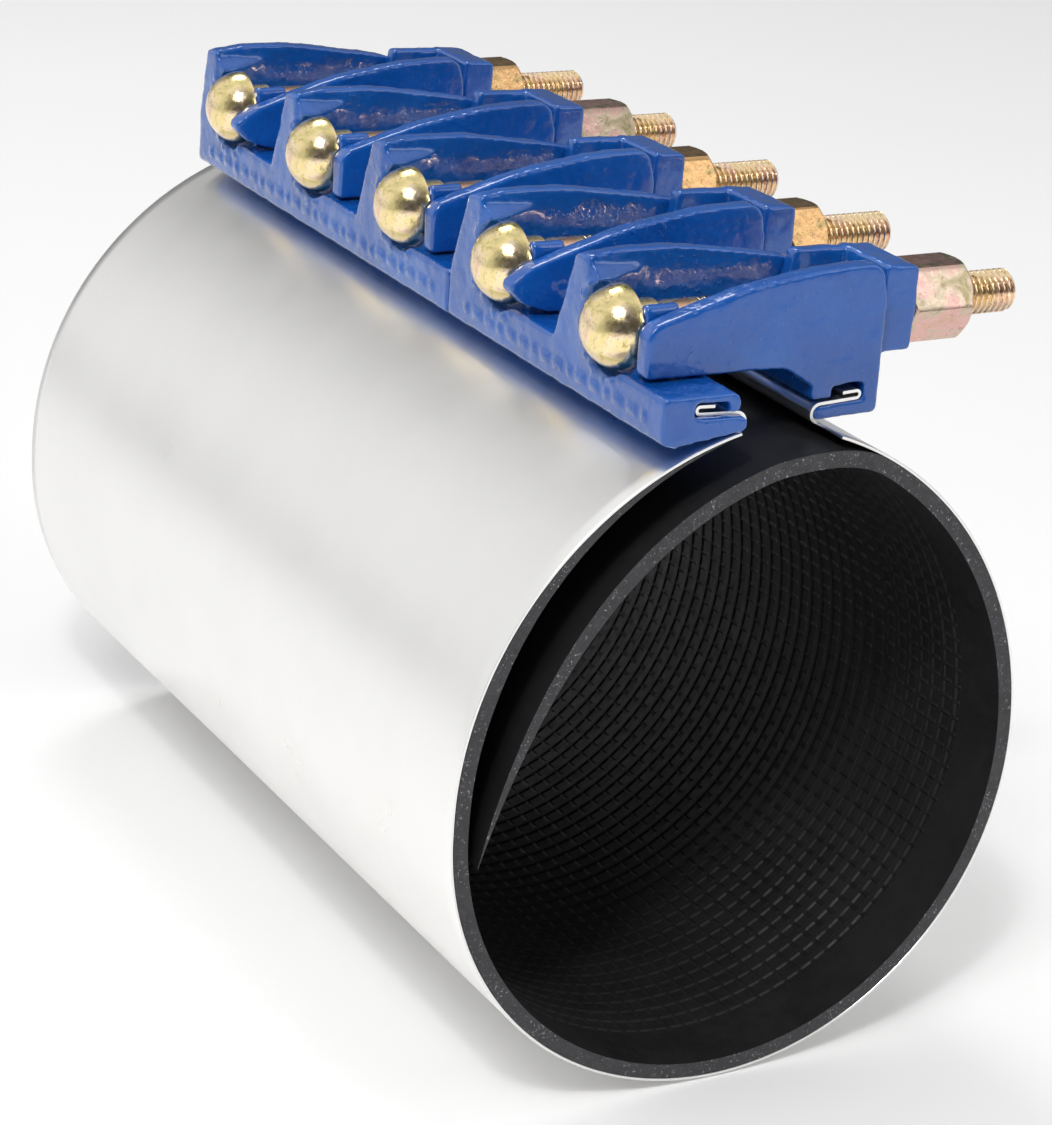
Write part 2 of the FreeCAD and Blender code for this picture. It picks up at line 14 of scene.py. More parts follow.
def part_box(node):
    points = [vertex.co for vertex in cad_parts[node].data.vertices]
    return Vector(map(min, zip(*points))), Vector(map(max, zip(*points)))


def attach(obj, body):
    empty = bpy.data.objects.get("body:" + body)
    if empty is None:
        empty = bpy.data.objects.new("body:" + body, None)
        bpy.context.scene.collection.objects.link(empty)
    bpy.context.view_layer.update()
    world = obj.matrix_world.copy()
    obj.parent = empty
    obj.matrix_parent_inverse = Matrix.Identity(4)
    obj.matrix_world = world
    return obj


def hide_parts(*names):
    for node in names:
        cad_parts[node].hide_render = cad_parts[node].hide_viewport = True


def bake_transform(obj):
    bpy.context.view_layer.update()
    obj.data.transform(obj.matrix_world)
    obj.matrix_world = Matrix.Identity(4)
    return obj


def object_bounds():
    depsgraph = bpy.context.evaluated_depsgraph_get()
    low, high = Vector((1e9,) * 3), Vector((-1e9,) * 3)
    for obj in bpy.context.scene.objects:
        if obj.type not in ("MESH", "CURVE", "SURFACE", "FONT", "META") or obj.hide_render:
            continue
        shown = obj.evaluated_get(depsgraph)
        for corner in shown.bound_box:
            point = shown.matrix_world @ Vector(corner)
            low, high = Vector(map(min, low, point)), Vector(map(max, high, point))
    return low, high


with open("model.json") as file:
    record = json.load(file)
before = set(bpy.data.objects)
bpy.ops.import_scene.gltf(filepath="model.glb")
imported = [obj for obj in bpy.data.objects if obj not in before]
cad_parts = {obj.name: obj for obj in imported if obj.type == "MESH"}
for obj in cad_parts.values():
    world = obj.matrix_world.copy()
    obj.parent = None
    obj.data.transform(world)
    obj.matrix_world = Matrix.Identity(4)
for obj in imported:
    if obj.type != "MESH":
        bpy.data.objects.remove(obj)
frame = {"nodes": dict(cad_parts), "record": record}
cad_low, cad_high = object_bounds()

MM = 0.001
ROOT = "clamp_body"
MOVING = "nut_side"
BOLTS = (1, 2, 3, 4, 5)
LONG_NUTS = (2, 5)

# --- sizes in millimetres, some read from the imported part -------------------------------------------------

record = frame["record"]
BORE = record["mounts"][0]["dims"]["r_mm"]
HALF = record["mounts"][0]["dims"]["length_mm"] / 2
OUTER = -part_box("band")[0].z / MM
RUBBER = 4.45
SHEET = 0.9

# the gasket's outside lies this far inside the band's outside
UNDER = 0.95

# the band leaves the pipe's circle on one arch to each lug; the head side starts RISE above the axis
RISE = 3.75
HEAD_ARCH = 105.6
NUT_ARCH = 108.5
HEAD_CENTRE = np.array([HEAD_ARCH - OUTER, RISE])
NUT_CENTRE = np.array([OUTER - NUT_ARCH, 0.0])

# each end turns round its lug's lip, runs up the slot and folds back into a hem
HEAD_LIP_X = -12.4
NUT_LIP_X = 22.1
TURN = 2.3
SLOT_SLOPE = math.radians(3.0)
SLOT_RUN = 12.0
HEM = 0.6
HEM_BACK = 4.6
HEM_INSET = 2.5

# the hems' first and last places along the pipe
HEAD_HEM = (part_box("head_casting_near")[0].y / MM + HEM_INSET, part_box("head_casting_far")[1].y / MM)
NUT_HEM = (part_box("nut_casting_near")[0].y / MM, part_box("nut_casting_far")[1].y / MM)


def polar(radius, degrees, centre=(0.0, 0.0)):
    """The point at a radius and an angle from a centre, in the plane across the pipe."""
    angle = math.radians(degrees)
    return centre[0] + radius * math.cos(angle), centre[1] + radius * math.sin(angle)


def lip_centre(centre, radius, x):
    """Centre of the turn round a lip, where the turn meets the arch and stands at x."""
    return np.array([x, centre[1] + math.sqrt((radius + TURN) ** 2 - (x - centre[0]) ** 2)])


HEAD_LIP = lip_centre(HEAD_CENTRE, HEAD_ARCH, HEAD_LIP_X)
NUT_LIP = lip_centre(NUT_CENTRE, NUT_ARCH, NUT_LIP_X)


def heading(point, centre):
    """The angle from a centre to a point, in degrees."""
    return math.degrees(math.atan2(point[1] - centre[1], point[0] - centre[0]))


def arc(centre, radius, first, last, step):
    """Points along an arc from angle first to angle last, in degrees, both ends included."""
    count = max(1, math.ceil(abs(last - first) / step))
    return [polar(radius, first + (last - first) * i / count, centre) for i in range(count + 1)]


def smoothstep(value):
    value = np.clip(value, 0.0, 1.0)
    return value * value * (3 - 2 * value)


# --- meshes -----------------------------------------------------------------------------------------------


def new_object(name, vertices, faces, material, smooth=True, sharp=None):
    mesh = bpy.data.meshes.new(name)
    mesh.from_pydata([tuple(v) for v in vertices], [], faces)
    mesh.validate()
    if smooth:
        mesh.shade_smooth()
    if sharp is not None:
        mesh.set_sharp_from_angle(angle=math.radians(sharp))
    mesh.materials.append(material)
    piece = bpy.data.objects.new(name, mesh)
    bpy.context.scene.collection.objects.link(piece)
    return piece


def extruded(name, loop, material, cap_material, crease):
    """A closed outline carried along the pipe and capped at both ends. loop is (stations, points, 3).
    Edges that turn by more than crease degrees stay sharp."""
    rows, count = loop.shape[:2]
    vertices = loop.reshape(-1, 3) * MM
    row = np.arange(rows - 1)[:, None] * count
    column = np.arange(count)[None, :]
    after = (column + 1) % count
    quads = np.stack([row + column, row + after, row + count + after, row + count + column], -1)
    faces = [tuple(q) for q in quads.reshape(-1, 4)]
    sides = len(faces)
    outline = [Vector((p[0], p[2], 0)) for p in loop[0]]
    caps = tessellate_polygon([outline])
    top = (rows - 1) * count
    area = sum((outline[b] - outline[a]).cross(outline[c] - outline[a]).z for a, b, c in caps)
    if area < 0:
        caps = [(c, b, a) for a, b, c in caps]
    faces += [tuple(t) for t in caps]
    faces += [(top + c, top + b, top + a) for a, b, c in caps]
    piece = new_object(name, vertices, faces, material)
    piece.data.materials.append(cap_material)
    indices = np.zeros(len(piece.data.polygons), np.int32)
    indices[sides:] = 1
    piece.data.polygons.foreach_set("material_index", indices)
    smooth = np.ones(len(piece.data.polygons), bool)
    smooth[sides:] = False
    piece.data.polygons.foreach_set("use_smooth", smooth)
    work = bmesh.new()
    work.from_mesh(piece.data)
    bmesh.ops.recalc_face_normals(work, faces=work.faces)
    for edge in work.edges:
        if len(edge.link_faces) == 2 and edge.calc_face_angle(0) > math.radians(crease):
            edge.smooth = False
    work.to_mesh(piece.data)
    work.free()
    return piece


def set_weights(piece):
    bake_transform(piece)


# the nut side's share of the travel that side_share gives starts at the bottom of the bore, and is full at
# its lip
BOTTOM = 270.0
WRAP_FADE = 160.0


def side_share(angle):
    """Share of the lugs' travel at an angle round the wrap: none at the bottom, all at the lip."""
    return smoothstep((angle - BOTTOM) / WRAP_FADE)


# --- materials --------------------------------------------------------------------------------------------


class Shader:
    """A small helper that adds nodes to one material."""

    def __init__(self, name):
        self.material = bpy.data.materials.new(name)
        self.material.use_nodes = True
        self.tree = self.material.node_tree
        self.surface = self.tree.nodes["Principled BSDF"]
        self.coordinates = self.tree.nodes.new("ShaderNodeTexCoord").outputs["Object"]

    def set(self, **values):
        for name, value in values.items():
            self.surface.inputs[name.replace("_", " ")].default_value = value

    def link(self, output, name):
        self.tree.links.new(output, self.surface.inputs[name])

    def stretched(self, scale):
        node = self.tree.nodes.new("ShaderNodeMapping")
        node.inputs["Scale"].default_value = scale
        self.tree.links.new(self.coordinates, node.inputs["Vector"])
        return node.outputs["Vector"]

    def noise(self, scale, detail=4.0, rough=0.55, vector=None, distortion=0.0):
        node = self.tree.nodes.new("ShaderNodeTexNoise")
        node.inputs["Scale"].default_value = scale
        node.inputs["Detail"].default_value = detail
        node.inputs["Roughness"].default_value = rough
        node.inputs["Distortion"].default_value = distortion
        self.tree.links.new(vector or self.coordinates, node.inputs["Vector"])
        return node.outputs["Fac"]

    def ramp(self, value, *stops):
        node = self.tree.nodes.new("ShaderNodeValToRGB")
        ramp = node.color_ramp
        while len(ramp.elements) < len(stops):
            ramp.elements.new(0.5)
        for element, (place, colour) in zip(ramp.elements, stops):
            element.position = place
            element.color = colour if len(colour) == 4 else (*colour, 1.0)
        self.tree.links.new(value, node.inputs["Fac"])
        return node.outputs["Color"]

    def level(self, value, *stops):
        return self.ramp(value, *((place, (grey,) * 3) for place, grey in stops))

    def mix(self, share, first, second, blend="MIX"):
        node = self.tree.nodes.new("ShaderNodeMix")
        node.data_type = "RGBA"
        node.blend_type = blend
        for place, value in ((0, share), (6, first), (7, second)):
            socket = node.inputs[place]
            if isinstance(value, bpy.types.NodeSocket):
                self.tree.links.new(value, socket)
            else:
                socket.default_value = value if not isinstance(value, tuple) else (*value, 1.0)
        return node.outputs[2]

    def bump(self, height, strength, distance, under=None):
        node = self.tree.nodes.new("ShaderNodeBump")
        node.inputs["Strength"].default_value = strength
        node.inputs["Distance"].default_value = distance
        self.tree.links.new(height, node.inputs["Height"])
        if under is not None:
            self.tree.links.new(under, node.inputs["Normal"])
        return node.outputs["Normal"]


def paint_material():
    """Thick glossy blue over sand-cast iron: uneven tone, orange peel, runs and small blisters."""
    s = Shader("blue_coating")
    tone = s.ramp(
        s.noise(38.0, 5.0),
        (0.32, (0.0045, 0.076, 0.350)),
        (0.55, (0.0065, 0.098, 0.420)),
        (0.75, (0.0110, 0.124, 0.480)),
    )
    dusk = s.level(s.noise(150.0, 6.0, 0.7), (0.60, 0.0), (0.76, 0.55))
    s.link(s.mix(dusk, tone, (0.020, 0.056, 0.300)), "Base Color")
    s.link(s.level(s.noise(420.0, 3.0), (0.35, 0.14), (0.70, 0.30)), "Roughness")
    s.set(Coat_Weight=0.8, Coat_Roughness=0.03, IOR=1.45)
    lumps = s.bump(s.noise(170.0, 2.0), 0.60, 0.0011)
    blisters = s.level(s.noise(520.0, 2.0, 0.4), (0.62, 0.0), (0.72, 1.0))
    where = s.level(s.noise(60.0, 2.0), (0.50, 0.0), (0.60, 1.0))
    spots = s.bump(s.mix(where, (0.0, 0.0, 0.0), blisters), 0.45, 0.0004, lumps)
    peel = s.bump(s.noise(780.0, 3.0), 0.22, 0.00020, spots)
    s.link(peel, "Normal")
    return s.material


def steel_material():
    """Mill-finish stainless sheet: rolling grain round the band, faint scuffs and cloudy patches."""
    s = Shader("stainless_sheet")
    grain = s.noise(1.0, 6.0, 0.6, s.stretched((260.0, 5200.0, 260.0)))
    cloud = s.noise(22.0, 4.0)
    s.link(s.ramp(cloud, (0.30, (0.875, 0.868, 0.852)), (0.70, (0.92, 0.912, 0.898))), "Base Color")
    base = s.level(cloud, (0.30, 0.27), (0.70, 0.33))
    scuff = s.level(s.noise(320.0, 8.0, 0.75, s.stretched((1.0, 0.25, 1.0))), (0.66, 0.0), (0.76, 0.35))
    s.link(s.mix(scuff, base, (0.48, 0.48, 0.48)), "Roughness")
    s.set(Metallic=1.0)
    s.link(s.bump(grain, 0.05, 0.0001), "Normal")
    return s.material


BLUSH_FROM = 10 * MM
BLUSH_TO = 60 * MM
BLUSH_SHARE = 0.45


def zinc_material(name, tones, speckle, rough, blush=None):
    """Yellow zinc dichromate: drifting tones, brown speckle and a bright satin shine. With blush, the
    piece turns towards that tone along X, from its head to its threads."""
    s = Shader(name)
    drift = s.noise(85.0, 4.0, 0.6, distortion=0.8)
    places = np.linspace(0.34, 0.66, len(tones))
    colour = s.ramp(drift, *zip(places.tolist(), tones))
    if blush is not None:
        split = s.tree.nodes.new("ShaderNodeSeparateXYZ")
        s.tree.links.new(s.coordinates, split.inputs["Vector"])
        along = s.tree.nodes.new("ShaderNodeMapRange")
        along.inputs["From Min"].default_value = BLUSH_FROM
        along.inputs["From Max"].default_value = BLUSH_TO
        along.inputs["To Max"].default_value = BLUSH_SHARE
        s.tree.links.new(split.outputs["X"], along.inputs["Value"])
        colour = s.mix(along.outputs["Result"], colour, blush)
    spots = s.level(s.noise(900.0, 5.0, 0.7), (0.54, 0.0), (0.66, 0.85))
    patches = s.level(s.noise(150.0, 4.0), (0.40, 0.0), (0.58, 1.0))
    marks = s.mix(patches, (0.0, 0.0, 0.0), spots)
    s.link(s.mix(marks, colour, speckle), "Base Color")
    s.link(s.level(s.noise(500.0, 4.0), (0.35, rough), (0.70, rough + 0.12)), "Roughness")
    s.set(Metallic=1.0)
    dents = s.bump(s.noise(260.0, 2.0), 0.35, 0.0003)
    s.link(s.bump(s.noise(1100.0, 4.0), 0.30, 0.00012, dents), "Normal")
    return s.material


def rubber_material():
    """Moulded black rubber with a dull bloom."""
    s = Shader("moulded_rubber")
    bloom = s.noise(45.0, 6.0, 0.65)
    tone = s.ramp(bloom, (0.35, (0.0105, 0.0105, 0.0114)), (0.75, (0.0190, 0.0190, 0.0204)))
    s.link(tone, "Base Color")
    s.link(s.level(s.noise(240.0, 4.0), (0.30, 0.46), (0.75, 0.64)), "Roughness")
    s.set(Specular_IOR_Level=0.34)
    s.link(s.bump(s.noise(1500.0, 3.0), 0.35, 0.00012), "Normal")
    return s.material


def cut_rubber_material():
    """The gasket's cut ends: greyer, rougher, with pale specks of filler."""
    s = Shader("cut_rubber")
    grey = s.noise(160.0, 6.0, 0.7)
    ground = s.ramp(grey, (0.30, (0.026, 0.026, 0.029)), (0.75, (0.050, 0.049, 0.054)))
    specks = s.level(s.noise(1050.0, 3.0, 0.8), (0.605, 0.0), (0.66, 0.90))
    worn = s.level(s.noise(90.0, 3.0), (0.40, 0.15), (0.56, 1.0))
    specks = s.mix(worn, (0.0, 0.0, 0.0), specks)
    s.link(s.mix(specks, ground, (0.40, 0.40, 0.42)), "Base Color")
    s.link(s.level(s.noise(700.0, 4.0), (0.3, 0.45), (0.7, 0.70)), "Roughness")
    s.link(s.bump(s.noise(1300.0, 5.0, 0.7), 0.7, 0.0004), "Normal")
    return s.material


def floor_material():
    """Pale studio paper, lifted a little so that it stays light away from the lamps."""
    s = Shader("studio_floor")
    s.link(s.level(s.noise(1.5, 2.0), (0.3, 0.92), (0.7, 0.94)), "Base Color")
    s.set(Roughness=0.85, Emission_Color=(1.0, 1.0, 1.0, 1.0), Emission_Strength=0.05)
    return s.material


PAINT = paint_material()
STEEL = steel_material()
RUBBER_SKIN = rubber_material()
RUBBER_CUT = cut_rubber_material()
BOLT_ZINC = zinc_material(
    "bolt_zinc",
    ((0.66, 0.58, 0.27), (0.92, 0.75, 0.36), (0.97, 0.79, 0.55), (0.80, 0.50, 0.34)),
    (0.24, 0.14, 0.06),
    0.15,
    (0.90, 0.64, 0.50),
)
SHORT_ZINC = zinc_material(
    "short_nut_zinc",
    ((0.26, 0.27, 0.12), (0.60, 0.38, 0.17), (0.68, 0.40, 0.19), (0.36, 0.32, 0.14)),
    (0.20, 0.12, 0.05),
    0.20,
)
LONG_ZINC = zinc_material(
    "long_nut_zinc",
    ((0.66, 0.42, 0.33), (0.72, 0.44, 0.40), (0.58, 0.48, 0.36), (0.34, 0.29, 0.16)),
    (0.36, 0.24, 0.15),
    0.24,
)


# --- band -------------------------------------------------------------------------------------------------

ARCH_STEP = 1.2
WRAP_STEP = 9
BAND_CREASE = 50

# the sheet's cut edges are drawn in to this share of its thickness, over this length
EDGE_DRAW = 0.72
EDGE_LENGTH = 0.15

# how far the hem cutters reach under and over the arch, behind the lip and above it
CUT_UNDER = 2.5
CUT_OVER = 0.3
CUT_BEHIND = 6.0
CUT_ABOVE = 16.0

def hem_points(lip, side, inset):
    """One face of the band's end, from its free edge through the fold and the slot to the nose's top."""
    cos, sin = math.cos(SLOT_SLOPE), math.sin(SLOT_SLOPE)

    def place(along, above):
        return lip[0] + side * (along * cos - above * sin), lip[1] + along * sin + above * cos

    middle = TURN + SHEET + HEM
    radius = HEM + SHEET - inset
    fold = [
        place(SLOT_RUN + radius * math.sin(a), middle + radius * math.cos(a))
        for a in np.linspace(0, math.pi, 9)
    ]
    steps = [place(SLOT_RUN - HEM_BACK * (1 - i / 3), middle + radius) for i in range(3)]
    slot = [place(SLOT_RUN * (1 - i / 4), TURN + inset) for i in range(1, 4)]
    return steps + fold + slot


def band_face(inset):
    """One face of the sheet, from the head side's hem to the nut side's."""
    slope = math.degrees(SLOT_SLOPE)
    head_angle = heading(HEAD_LIP, HEAD_CENTRE)
    nut_angle = heading(NUT_LIP, NUT_CENTRE)
    wrap = TURN + inset
    return np.array(
        hem_points(HEAD_LIP, -1, inset)
        + arc(HEAD_LIP, wrap, 90 - slope, head_angle - 180, WRAP_STEP)
        + arc(HEAD_CENTRE, HEAD_ARCH - inset, head_angle, 180, ARCH_STEP)[1:]
        + arc((0, 0), OUTER - inset, 180, 360, ARCH_STEP)
        + arc(NUT_CENTRE, NUT_ARCH - inset, 0, nut_angle, ARCH_STEP)[1:]
        + arc(NUT_LIP, wrap, 180 + nut_angle, 90 + slope, WRAP_STEP)[1:]
        + hem_points(NUT_LIP, 1, inset)[::-1]
    )


def hem_cutter(lip, centre, arch, side, first, last):
    """A block round one wrapped and hemmed end of the sheet, between two places along the pipe."""
    angle = heading(lip, centre)
    low = polar(arch - CUT_UNDER, angle, centre)
    high = polar(arch + CUT_OVER, angle, centre)
    inner = lip[0] - side * CUT_BEHIND
    outer = lip[0] + side * 2 * SLOT_RUN
    top = lip[1] + CUT_ABOVE
    outline = [low, high, (outer, high[1]), (outer, top), (inner, top), (inner, low[1])]
    rows = [[(x, y, z) for x, z in outline] for y in (first, last)]
    return extruded("hem_cutter", np.array(rows), STEEL, STEEL, 30)


def cut_away(piece, cutters):
    """Take the cutters' spaces out of the piece, and delete the cutters."""
    for cutter in cutters:
        modifier = piece.modifiers.new("cut", "BOOLEAN")
        modifier.operation = "DIFFERENCE"
        modifier.solver = "EXACT"
        modifier.object = cutter
    graph = bpy.context.evaluated_depsgraph_get()
    piece.data = bpy.data.meshes.new_from_object(piece.evaluated_get(graph))
    piece.modifiers.clear()
    for cutter in cutters:
        bpy.data.objects.remove(cutter)


def make_band():
    """The sheet with both its ends wrapped and hemmed, cut away where no casting takes the hem."""
    face = band_face(0.0)
    back = band_face(SHEET)
    outline = np.concatenate([face, back[::-1]])
    centre = np.concatenate([(face + back) / 2, ((face + back) / 2)[::-1]])
    plain = np.linspace(-HALF + 5, HALF - 5, 31)
    edge = np.array([HALF - EDGE_LENGTH, HALF])
    stations = np.concatenate([-edge[::-1], plain, edge])
    draw = np.ones(len(stations))
    draw[[0, -1]] = EDGE_DRAW
    rows = []
    for y, part in zip(stations, draw):
        points = centre + (outline - centre) * part
        rows.append(np.stack([points[:, 0], np.full(len(points), y), points[:, 1]], -1))
    band = extruded("stainless_band", np.array(rows), STEEL, STEEL, BAND_CREASE)
    beyond = HALF + 1.0
    head = (HEAD_LIP, HEAD_CENTRE, HEAD_ARCH, -1)
    nut = (NUT_LIP, NUT_CENTRE, NUT_ARCH, 1)
    cutters = []
    for end, (near, far) in ((head, HEAD_HEM), (nut, NUT_HEM)):
        cutters += [hem_cutter(*end, -beyond, near), hem_cutter(*end, far, beyond)]
    cut_away(band, cutters)
    places = np.array([v.co for v in band.data.vertices])
    angle = np.degrees(np.arctan2(places[:, 2], places[:, 0]))
    angle = np.where(angle < -90, angle + 360, angle)
    set_weights(band)
    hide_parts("band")


# --- gasket -----------------------------------------------------------------------------------------------

# ribs run along the pipe every WAFFLE_PITCH, and rings round it every WAFFLE_ROW
WAFFLE_PITCH = 5.2
WAFFLE_ROW = 6.1
WAFFLE_MARGIN = 16.5
RIB_HALF = 0.8
RING_HALF = 1.5
RING_CREST = 0.8
RIB_HEIGHT = 0.42
RUBBER_CREASE = 18

# the first layer thins from full at FIRST_FULL degrees to a feather at FIRST_EDGE, and is plain there
FIRST_EDGE = 106
FIRST_FULL = 162
FIRST_CURVE = 1.25
FEATHER = 0.12
PLAIN_END = 34.0

# the free flap at rest hangs clear of the first layer. It leaves the nut side's arch at its shoulder,
# and the control points of its two faces follow
FLAP_SHOULDER = 68.6
FLAP_FACE_SHOULDER = FLAP_SHOULDER - 1.2
FLAP_TURN = 7.0
FLAP_TURN_END = 0.14
FLAP_BACK = ((-34.1, 96.0), (-69.7, 54.2), (-84.1, -11.2))
FLAP_FACE = ((-31.4, 91.7), (-64.3, 50.9), (-83.98, -11.3))
FLAP_TIP_SHARE = 0.86

# between these angles the outline belongs to the flap, whose share of the travel fades from FADE_FROM over
# FADE_RUN
FLAP_ANGLES = (68, 200)
FADE_FROM = 75
FADE_RUN = 75.0

STRIP_CREASE = 40
STRIP_HALF_THICKNESS = 0.4


def bezier(points, first, last, count):
    """Points on the cubic curve of four control points, from parameter first to parameter last."""
    a, b, c, d = (np.array(p) for p in points)
    at = np.linspace(first, last, count)[:, None]
    back = 1 - at
    curve = back**3 * a + 3 * back**2 * at * b + 3 * back * at**2 * c + at**3 * d
    return [tuple(p) for p in curve]


def flap_path(radius, shoulder, others, count=60):
    """One face of the flap: off the nut side's arch, round its shoulder and down to its free edge."""
    start = polar(radius, shoulder, NUT_CENTRE)
    controls = (start, *others)
    before = np.array(polar(radius, shoulder - FLAP_TURN, NUT_CENTRE))
    after = np.array(bezier(controls, FLAP_TURN_END, 1, 2)[0])
    at = np.linspace(0, 1, 8)[:, None]
    bend = (1 - at) ** 2 * before + 2 * (1 - at) * at * np.array(start) + at**2 * after
    return [tuple(p) for p in bend] + bezier(controls, FLAP_TURN_END, 1, count)[1:]


def flap_share(angle):
    """Share of the lugs' travel that the flap takes: all at its shoulder, less towards its tip."""
    return 1 - smoothstep((angle - FADE_FROM) / FADE_RUN)


def rib_stations(first, last, pitch, half, crest):
    """Places along a line at each rib's two feet and its crest, with 1 on the waffle's floor and 0 on a
    rib. A crest wider than nothing has two places."""
    count = round((last - first) / pitch)
    pitch = (last - first) / count
    edge = half + 0.02
    places, floor = [first], [0.0]
    for i in range(count + 1):
        middle = min(max(first + pitch * i, first + edge), last - edge)
        tops = [middle - crest, middle + crest] if crest else [middle]
        places += [middle - half, *tops, middle + half]
        floor += [float(i > 0), *(0.0 for _ in tops), float(i < count)]
    return np.array(places + [last]), np.array(floor + [0.0])


def make_gasket():
    """One sheet from the first layer's feather round the bore to the flap's tip, waffled inside."""
    head_skin = HEAD_ARCH - UNDER
    nut_skin = NUT_ARCH - UNDER
    back = flap_path(nut_skin, FLAP_SHOULDER, FLAP_BACK, 36)
    face = flap_path(nut_skin - RUBBER, FLAP_FACE_SHOULDER, FLAP_FACE)
    tip_from = round(len(face) * FLAP_TIP_SHARE)
    first_layer = arc(HEAD_CENTRE, head_skin, FIRST_EDGE, 180, 5)
    first_layer += arc((0, 0), OUTER - UNDER, 180, 360, 5)
    outer_path = np.array(
        first_layer + arc(NUT_CENTRE, nut_skin, 0, FLAP_SHOULDER - FLAP_TURN, 3)[1:] + back[1:]
    )
    inner_tip = np.array(face[:tip_from:-1])
    path = np.array(
        face[tip_from::-1]
        + arc(NUT_CENTRE, nut_skin - RUBBER, FLAP_FACE_SHOULDER - FLAP_TURN, 0, 0.6)[1:]
        + arc((0, 0), BORE, 360, 180, 0.6)[1:]
        + arc(HEAD_CENTRE, head_skin - RUBBER, 180, FIRST_FULL, 0.6)
    )
    first_taper = np.array(
        [
            polar(
                head_skin - RUBBER + (RUBBER - FEATHER) * k**FIRST_CURVE,
                FIRST_FULL + (FIRST_EDGE - FIRST_FULL) * k,
                HEAD_CENTRE,
            )
            for k in np.linspace(0, 1, 15)[1:]
        ]
    )
    run = np.concatenate([[0], np.cumsum(np.linalg.norm(np.diff(path, axis=0), axis=1))])
    places, floor = rib_stations(2.0, run[-1] - PLAIN_END, WAFFLE_PITCH, RIB_HALF, 0.0)
    rest = np.linspace(run[-1] - PLAIN_END + 3.0, run[-1], 9)
    places = np.concatenate([[0.0], places, rest])
    floor = np.concatenate([[0.0], floor, np.zeros(len(rest))])

    def on_path(at):
        return np.stack([np.interp(np.clip(at, 0, run[-1]), run, path[:, k]) for k in range(2)], -1)

    fine = on_path(places)
    along = on_path(places + 0.4) - on_path(places - 0.4)
    along /= np.linalg.norm(along, axis=1, keepdims=True)
    outward = np.stack([-along[:, 1], along[:, 0]], -1)
    outward *= np.sign((outward * fine).sum(1, keepdims=True))

    outline = np.concatenate([outer_path, inner_tip, fine, first_taper])
    count = len(outline)
    start = len(outer_path) + len(inner_tip)
    sunk = np.zeros(count)
    sunk[start : start + len(fine)] = floor * RIB_HEIGHT
    push = np.zeros((count, 2))
    push[start : start + len(fine)] = outward

    angle = np.degrees(np.arctan2(outline[:, 1], outline[:, 0]))
    turned = np.where(angle < 0, angle + 360, angle)
    shares = np.where(turned >= BOTTOM, side_share(turned), 0.0)
    on_nut_side = (turned <= FADE_FROM) & (outline[:, 0] > 0)
    shares = np.where(on_nut_side, side_share(turned + 360), shares)
    flap = np.zeros(count, bool)
    flap[len(first_layer) : start + np.argmax(fine[:, 0] > 60)] = True
    flap &= (turned > FLAP_ANGLES[0]) & (turned < FLAP_ANGLES[1])
    shares = np.where(flap, flap_share(turned), shares)

    margin = HALF - WAFFLE_MARGIN
    rows_at, row_floor = rib_stations(-margin, margin, WAFFLE_ROW, RING_HALF, RING_CREST)
    edges = np.array([-HALF, -HALF + 0.2, -HALF + 8.0])
    stations = np.concatenate([edges, rows_at, -edges[::-1]])
    across = np.concatenate([np.zeros(3), row_floor, np.zeros(3)])
    rows = []
    for y, deep in zip(stations, across):
        points = outline + push * (sunk * deep)[:, None]
        rows.append(np.stack([points[:, 0], np.full(count, y), points[:, 1]], -1))
    gasket = extruded("rubber_gasket", np.array(rows), RUBBER_SKIN, RUBBER_CUT, RUBBER_CREASE)
    set_weights(gasket)
    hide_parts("gasket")


def make_bridge_plate():
    """The thin plate moulded in the middle of the flap, where it spans the gap between the lugs."""
    low, high = (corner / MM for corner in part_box("bridge_plate"))
    back = flap_path(NUT_ARCH - UNDER, FLAP_SHOULDER, FLAP_BACK)
    face = flap_path(NUT_ARCH - UNDER - RUBBER, FLAP_FACE_SHOULDER, FLAP_FACE)
    middle = (np.array(back) + np.array(face)) / 2
    at = np.linspace(high.x, low.x, 24)
    middle = np.stack([at, np.interp(-at, -middle[:, 0], middle[:, 1])], -1)
    along = np.gradient(middle, axis=0)
    along /= np.linalg.norm(along, axis=1, keepdims=True)
    across = np.stack([along[:, 1], -along[:, 0]], -1) * STRIP_HALF_THICKNESS
    outline = np.concatenate([middle + across, (middle - across)[::-1]])
    stations = np.linspace(low.y, high.y, 9)
    rows = [np.stack([outline[:, 0], np.full(len(outline), y), outline[:, 1]], -1) for y in stations]
    plate = extruded("steel_bridge_plate", np.array(rows), STEEL, STEEL, STRIP_CREASE)
    set_weights(plate)
    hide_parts("bridge_plate")


# --- castings ---------------------------------------------------------------------------------------------


DOT = 1.9
DASH = 4.2
MARK_GAP = 3.4
MARK_DEPTH = 1.5
MARK_HEIGHT = 110.4

# beads round each seat: how many, at what angles, how far from the bolt's axis, how deep and how large
BEADS = 26
BEAD_ANGLES = (-128, 42)
BEAD_REACH = (14.1, 15.4)
BEAD_DEPTH = (0.0, 1.2)
BEAD_SIZE = (0.9, 1.7)

VOXEL, QUICK_VOXEL = 0.62 * MM, 1.3 * MM
PASSES, QUICK_PASSES = 9, 3
SAND_SIZE = 6 * MM
SAND_DEPTH = 0.5 * MM
KEPT_FACES = 0.42


def raised_marks(work, x, low, high):
    """A row of plain raised dashes and dots on a casting's outer face."""
    y = low + 9.0
    i = 0
    while y < high - 12.0:
        width = DASH if i % 3 else DOT
        matrix = Matrix.Translation(Vector((x, y + width / 2, MARK_HEIGHT)) * MM)
        matrix @= Matrix.Diagonal((MARK_DEPTH * MM, width * MM, DOT * MM, 1.0))
        bmesh.ops.create_cube(work, size=1.0, matrix=matrix)
        y += width + MARK_GAP
        i += 1


